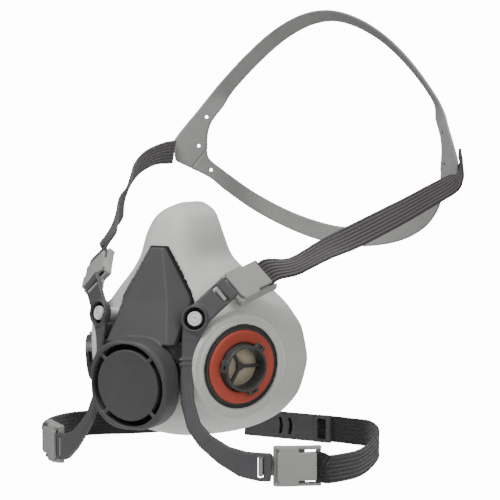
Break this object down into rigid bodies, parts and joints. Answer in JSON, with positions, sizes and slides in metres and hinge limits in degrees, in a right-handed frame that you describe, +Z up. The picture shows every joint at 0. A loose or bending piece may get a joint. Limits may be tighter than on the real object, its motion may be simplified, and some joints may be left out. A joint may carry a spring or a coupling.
{
  "type": "half-face respirator",
  "caption": "Reusable painter's half-face respirator: elastomer facepiece, bayonet inhalation ports, covered exhalation valve and an adjustable head and neck harness.",
  "frame": {"origin": "centre of the face opening, midway between the two inhalation ports", "axes": "+Y towards the wearer, +Z up the face towards the nose, +X to the right of someone looking at the front"},
  "size_m": [0.2036, 0.2644, 0.2476],
  "materials": {
    "seal_elastomer": "matt moulded elastomer",
    "port_plastic": "satin",
    "gasket_rubber": "matt",
    "flap_silicone": "satin natural silicone",
    "cover_plastic": "fine texture",
    "yoke_plastic": "satin",
    "stud_plastic": "satin",
    "buckle_plastic": "satin",
    "cradle_plastic": "fine texture",
    "upper_webbing": "ribbed woven elastic",
    "neck_webbing": "ribbed woven elastic",
    "clip_plastic": "satin"
  },
  "bodies": {
    "facepiece": {"face_seal": "seal_elastomer", "port_connector_right": "port_plastic", "port_connector_left": "port_plastic", "port_gasket_right": "gasket_rubber", "port_gasket_left": "gasket_rubber", "exhalation_valve_seat": "port_plastic", "harness_yoke": "yoke_plastic", "yoke_stud_right": "stud_plastic", "yoke_stud_left": "stud_plastic"},
    "front_cover": {"front_cover": "cover_plastic"},
    "exhalation_flap": {"exhalation_flap": "flap_silicone"},
    "inhalation_flap_right": {"inhalation_flap_right": "flap_silicone"},
    "inhalation_flap_left": {"inhalation_flap_left": "flap_silicone"},
    "head_harness": {"crown_band": "cradle_plastic", "upper_strap_right": "upper_webbing", "upper_strap_left": "upper_webbing"},
    "rear_band": {"rear_band": "cradle_plastic"},
    "upper_buckle_right": {"upper_buckle_right": "buckle_plastic"},
    "upper_buckle_left": {"upper_buckle_left": "buckle_plastic"},
    "neck_right": {"neck_strap_right": "neck_webbing", "neck_clip_receiver": "clip_plastic"},
    "neck_left": {"neck_strap_left": "neck_webbing", "neck_clip_hook": "clip_plastic"},
    "lower_buckle_right": {"lower_buckle_right": "buckle_plastic"},
    "lower_buckle_left": {"lower_buckle_left": "buckle_plastic"}
  },
  "joints": [
    {"name": "cover_pull", "type": "slide", "parent": "facepiece", "child": "front_cover", "axis": [0, -0.9976, -0.0698], "range_m": [0, 0.025]},
    {"name": "exhalation_lift", "type": "slide", "parent": "facepiece", "child": "exhalation_flap", "axis": [0, -0.9976, -0.0698], "range_m": [0, 0.0015], "stiffness_N_per_m": 30},
    {"name": "inhalation_lift_right", "type": "slide", "parent": "facepiece", "child": "inhalation_flap_right", "axis": [-0.8836, 0.46, 0.0872], "range_m": [0, 0.0015], "stiffness_N_per_m": 30},
    {"name": "inhalation_lift_left", "type": "slide", "parent": "facepiece", "child": "inhalation_flap_left", "axis": [0.8836, 0.46, 0.0872], "range_m": [0, 0.0015], "stiffness_N_per_m": 30},
    {"name": "harness_swing", "type": "hinge", "parent": "facepiece", "child": "head_harness", "pos_m": [0, -0.0526, 0.016], "axis": [1, 0, 0], "range_deg": [-6, 25]},
    {"name": "rear_fold", "type": "hinge", "parent": "head_harness", "child": "rear_band", "pos_m": [-0.0014, 0.1207, 0.07405], "axis": [0.9986, 0, -0.0527], "range_deg": [-12, 20]},
    {"name": "upper_buckle_turn_right", "type": "hinge", "parent": "head_harness", "child": "upper_buckle_right", "pos_m": [0.0393, -0.0526, 0.016], "axis": [-0.8485, -0.0394, -0.5277], "range_deg": [-4.69, 17.97]},
    {"name": "upper_buckle_turn_left", "type": "hinge", "parent": "head_harness", "child": "upper_buckle_left", "pos_m": [-0.0393, -0.0526, 0.016], "axis": [-0.8485, 0.0394, 0.5277], "range_deg": [-4.69, 17.97]},
    {"name": "neck_swing_right", "type": "hinge", "parent": "facepiece", "child": "neck_right", "pos_m": [0.0619, -0.0512, -0.0702], "axis": [1, 0, 0], "range_deg": [-20, 10]},
    {"name": "neck_swing_left", "type": "hinge", "parent": "facepiece", "child": "neck_left", "pos_m": [-0.0619, -0.0512, -0.0702], "axis": [1, 0, 0], "range_deg": [-20, 10]},
    {"name": "lower_buckle_turn_right", "type": "hinge", "parent": "neck_right", "child": "lower_buckle_right", "pos_m": [0.0619, -0.0512, -0.0702], "axis": [-0.9578, 0, 0.2873], "range_deg": [-21.38, 10.94]},
    {"name": "lower_buckle_turn_left", "type": "hinge", "parent": "neck_left", "child": "lower_buckle_left", "pos_m": [-0.0619, -0.0512, -0.0702], "axis": [-0.9578, 0, -0.2873], "range_deg": [-21.38, 10.94]}
  ],
  "couplings": [
    {"joint": "upper_buckle_turn_right", "follows": "harness_swing", "ratio": 0.69864},
    {"joint": "upper_buckle_turn_left", "follows": "harness_swing", "ratio": 0.69864},
    {"joint": "lower_buckle_turn_right", "follows": "neck_swing_right", "ratio": 1.044},
    {"joint": "lower_buckle_turn_left", "follows": "neck_swing_left", "ratio": 1.044}
  ]
}
